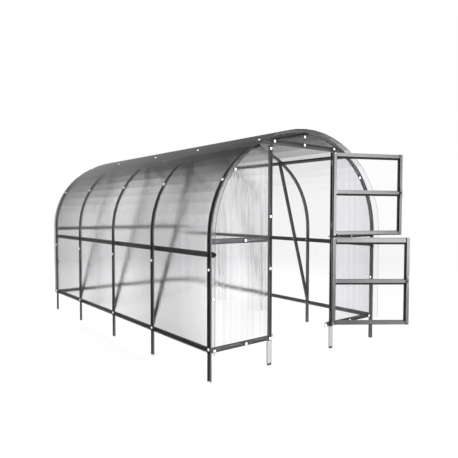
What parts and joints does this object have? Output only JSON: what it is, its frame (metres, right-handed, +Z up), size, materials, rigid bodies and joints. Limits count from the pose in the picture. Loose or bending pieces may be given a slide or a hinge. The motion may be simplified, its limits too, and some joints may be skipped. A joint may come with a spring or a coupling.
{
  "type": "polycarbonate greenhouse",
  "caption": "Arched garden greenhouse on anchor legs: hat-section steel arches and purlins under a clear twin-wall sheet cover, with a two-leaf stable door in the front gable.",
  "frame": {"origin": "centre of the arch plan, between the leg feet, at ground level", "axes": "+X across the width to the hinge side of the door, +Y along the length away from the door, +Z up"},
  "size_m": [2.3963, 4.5181, 2.2954],
  "materials": {
    "coated_steel": "satin anthracite powder coat",
    "dark_coated_steel": "satin black powder coat",
    "twin_wall_sheet": "clear twin-wall polycarbonate with fine vertical flutes",
    "zinc_handle": "zinc plated"
  },
  "bodies": {
    "frame": {"arch_1": "coated_steel", "arch_2": "coated_steel", "arch_3": "coated_steel", "arch_4": "coated_steel", "arch_5": "coated_steel", "struts_2": "coated_steel", "struts_3": "coated_steel", "struts_4": "coated_steel", "base_rail_left": "coated_steel", "base_rail_right": "coated_steel", "mid_purlin_left": "dark_coated_steel", "mid_purlin_right": "dark_coated_steel", "upper_purlin_left": "coated_steel", "upper_purlin_right": "coated_steel", "ridge_purlin": "coated_steel", "front_post_left": "coated_steel", "front_post_right": "coated_steel", "front_lintel": "coated_steel", "front_mid_rails": "coated_steel", "front_base_rails": "coated_steel", "rear_post_left": "coated_steel", "rear_post_right": "coated_steel", "rear_lintel": "coated_steel", "rear_mid_rails": "coated_steel", "rear_base_rails": "coated_steel", "cover_sheet_front": "twin_wall_sheet", "cover_sheet_rear": "twin_wall_sheet", "front_panel_left": "twin_wall_sheet", "front_panel_right": "twin_wall_sheet", "front_panel_top": "twin_wall_sheet", "rear_panel_left": "twin_wall_sheet", "rear_panel_middle": "twin_wall_sheet", "rear_panel_right": "twin_wall_sheet", "rear_panel_top": "twin_wall_sheet", "post_hinges": "coated_steel"},
    "upper_leaf": {"upper_leaf_stiles": "coated_steel", "upper_leaf_rails": "coated_steel", "upper_leaf_sheet": "twin_wall_sheet", "upper_leaf_handle": "zinc_handle", "upper_leaf_hinges": "coated_steel"},
    "lower_leaf": {"lower_leaf_stiles": "coated_steel", "lower_leaf_rails": "coated_steel", "lower_leaf_sheet": "twin_wall_sheet", "lower_leaf_handle": "zinc_handle", "lower_leaf_hinges": "coated_steel"}
  },
  "joints": [
    {"name": "upper_leaf_hinge", "type": "hinge", "parent": "frame", "child": "upper_leaf", "pos_m": [0.43, -1.944, 1.7], "axis": [0, 0, 1], "range_deg": [-156, 3]},
    {"name": "lower_leaf_hinge", "type": "hinge", "parent": "frame", "child": "lower_leaf", "pos_m": [0.43, -1.944, 0.74], "axis": [0, 0, 1], "range_deg": [-143, 20]}
  ]
}
